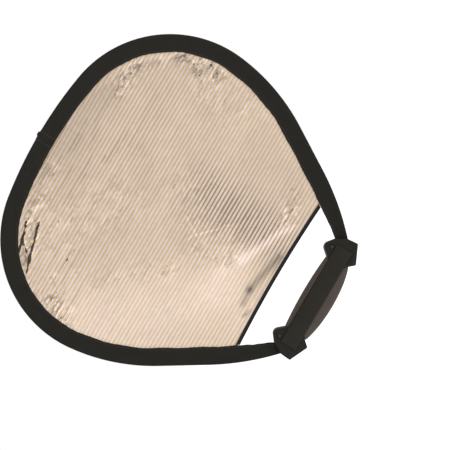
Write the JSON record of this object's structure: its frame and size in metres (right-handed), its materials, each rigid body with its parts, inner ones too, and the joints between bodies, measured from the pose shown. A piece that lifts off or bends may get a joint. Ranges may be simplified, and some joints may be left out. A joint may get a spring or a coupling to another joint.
{
  "type": "collapsible reflector",
  "caption": "Hand-held folding light reflector: rounded-triangle sprung hoop in a fabric binding, warm and silver striped panels, and a moulded grip across one corner.",
  "frame": {"origin": "middle of the grip, on the disc's centre plane", "axes": "+Z from the grip across the disc to the middle of the far side, -Y out of the warm face, +X to the right when the warm face is seen from the front with the grip at the bottom"},
  "size_m": [0.451, 0.028, 0.4565],
  "materials": {
    "handle_plastic": "moulded, fine satin grain",
    "grip_rubber": "matt, finely ribbed",
    "fastener_steel": "black zinc plated",
    "spring_steel": "blued strip",
    "binding_tape": "woven polyester, matt",
    "warm_panel": "metallised weave in gold and silver stripes",
    "silver_panel": "metallised weave in silver and white stripes"
  },
  "bodies": {
    "grip_side": {"handle_front_shell": "handle_plastic", "handle_back_shell": "handle_plastic", "inner_grip_insert": "grip_rubber", "outer_grip_insert": "grip_rubber", "shell_screw_left": "fastener_steel", "shell_screw_right": "fastener_steel", "shell_nut_left": "fastener_steel", "shell_nut_right": "fastener_steel", "hoop_ferrule_left": "fastener_steel", "hoop_ferrule_right": "fastener_steel", "hoop_lower_left": "spring_steel", "hoop_lower_right": "spring_steel", "hoop_flex_left": "spring_steel", "hoop_flex_right": "spring_steel", "binding_lower_left": "binding_tape", "binding_lower_right": "binding_tape", "binding_flex_left": "binding_tape", "binding_flex_right": "binding_tape", "cut_edge_tape": "binding_tape", "front_panel_lower": "warm_panel", "front_panel_flex": "warm_panel", "back_panel_lower": "silver_panel", "back_panel_flex": "silver_panel"},
    "far_side": {"hoop_upper": "spring_steel", "binding_upper_left": "binding_tape", "binding_upper_right": "binding_tape", "binding_join_tab": "binding_tape", "front_panel_upper": "warm_panel", "back_panel_upper": "silver_panel"}
  },
  "joints": [
    {"name": "hoop_bend", "type": "hinge", "parent": "grip_side", "child": "far_side", "pos_m": [0, 0, 0.22], "axis": [1, 0, 0], "range_deg": [-150, 150], "stiffness_Nm_per_rad": 1.2, "deforming": ["hoop_flex_left", "hoop_flex_right", "binding_flex_left", "binding_flex_right", "front_panel_flex", "back_panel_flex"]}
  ]
}
